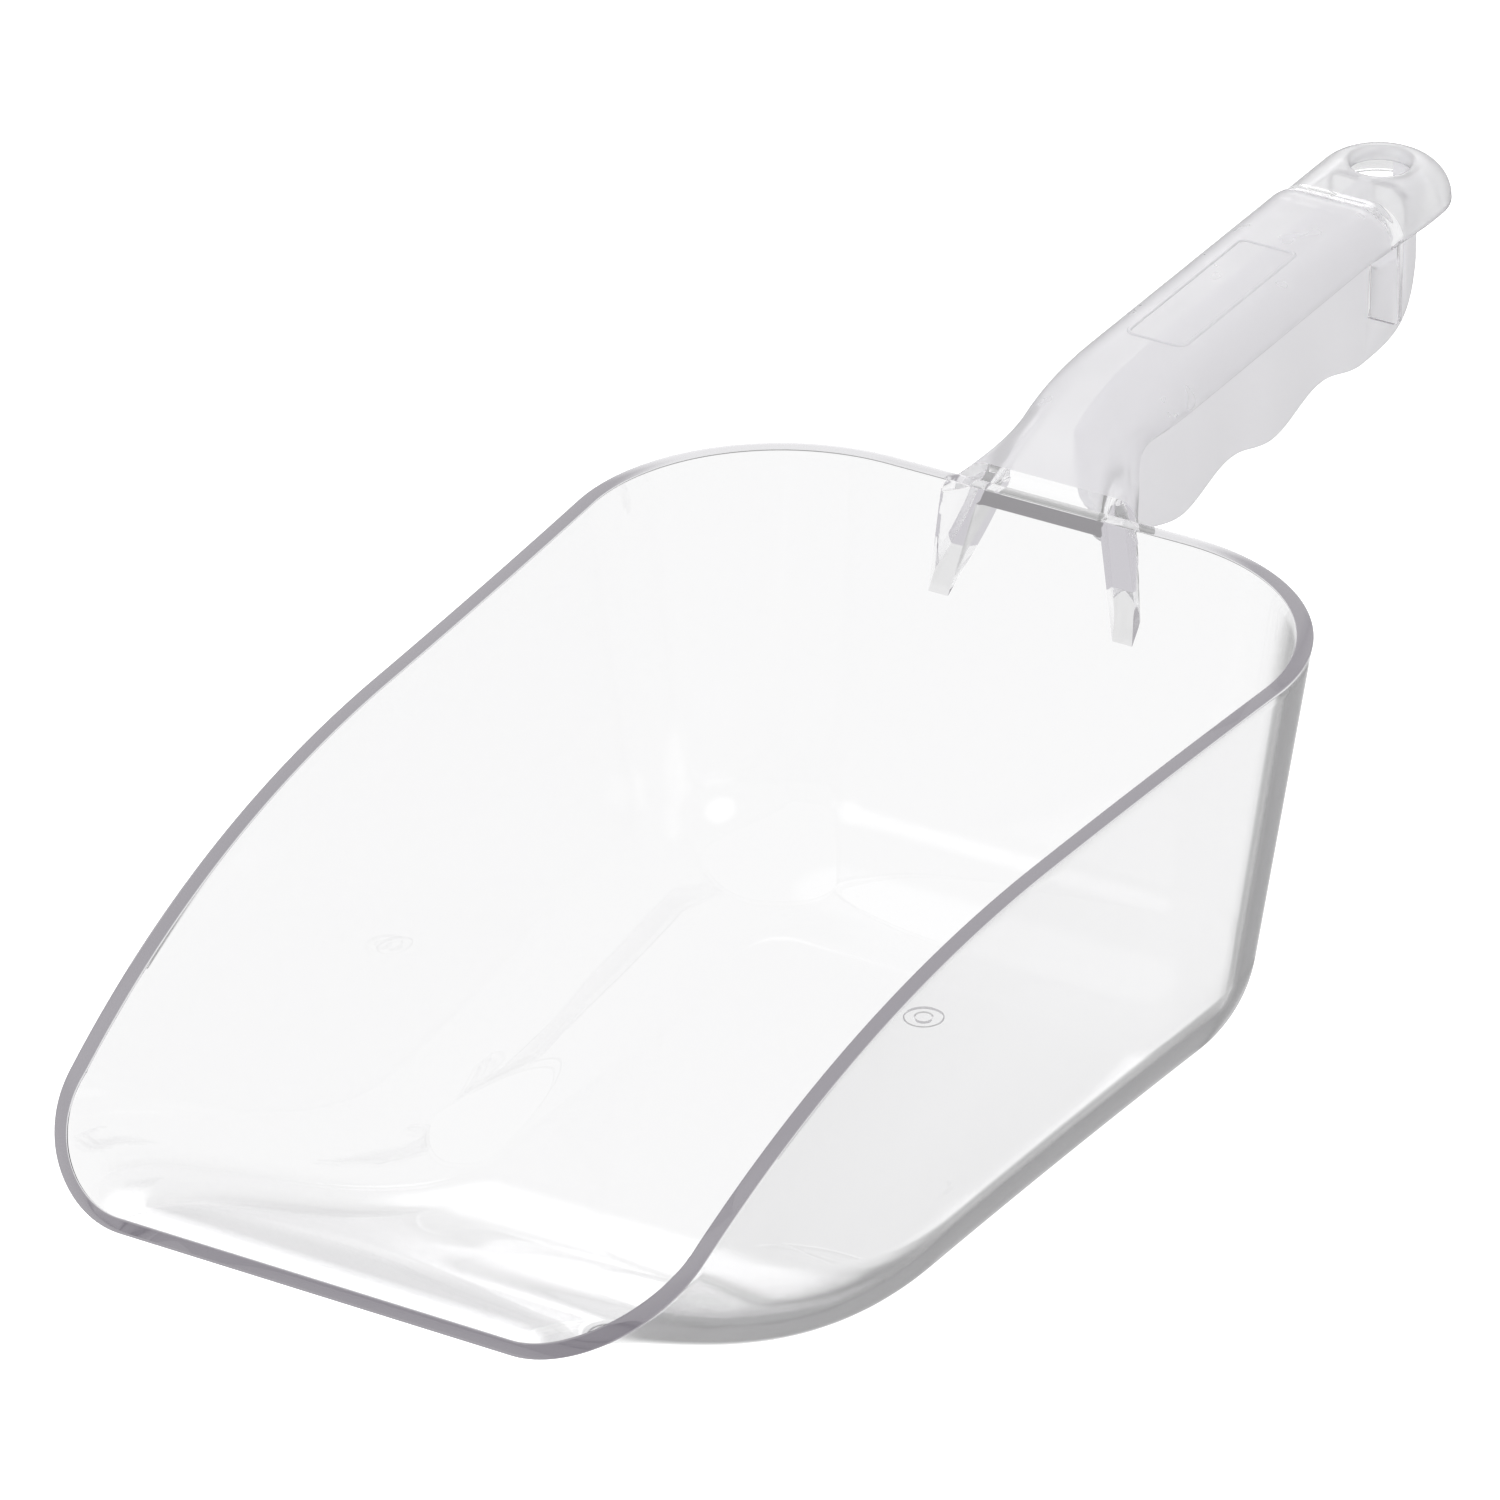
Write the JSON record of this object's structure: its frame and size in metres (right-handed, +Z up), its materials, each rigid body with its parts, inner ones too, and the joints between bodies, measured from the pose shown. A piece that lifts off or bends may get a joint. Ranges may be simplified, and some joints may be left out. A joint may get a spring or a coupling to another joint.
{
  "type": "ice scoop",
  "caption": "Clear plastic ice scoop with a deep round-cornered bowl, a ramped pouring lip and a hollow-backed grip with finger rib and hang hole.",
  "frame": {"origin": "centre of the flat base of the bowl, on its underside, where the scoop rests", "axes": "+Z up, -Y towards the pouring lip, +Y along the handle to the hang hole, X across the bowl"},
  "size_m": [0.1398, 0.3804, 0.0976],
  "materials": {
    "clear_polycarbonate": "clear, glossy on both sides",
    "satin_polycarbonate": "clear, with a fine satin texture on the outside"
  },
  "bodies": {
    "root": {"bowl": "clear_polycarbonate", "handle_shell": "satin_polycarbonate", "hang_tab": "clear_polycarbonate", "finger_rib": "satin_polycarbonate", "cross_web_left": "clear_polycarbonate", "cross_web_right": "clear_polycarbonate", "gusset_left": "clear_polycarbonate", "gusset_right": "clear_polycarbonate"}
  },
  "joints": []
}
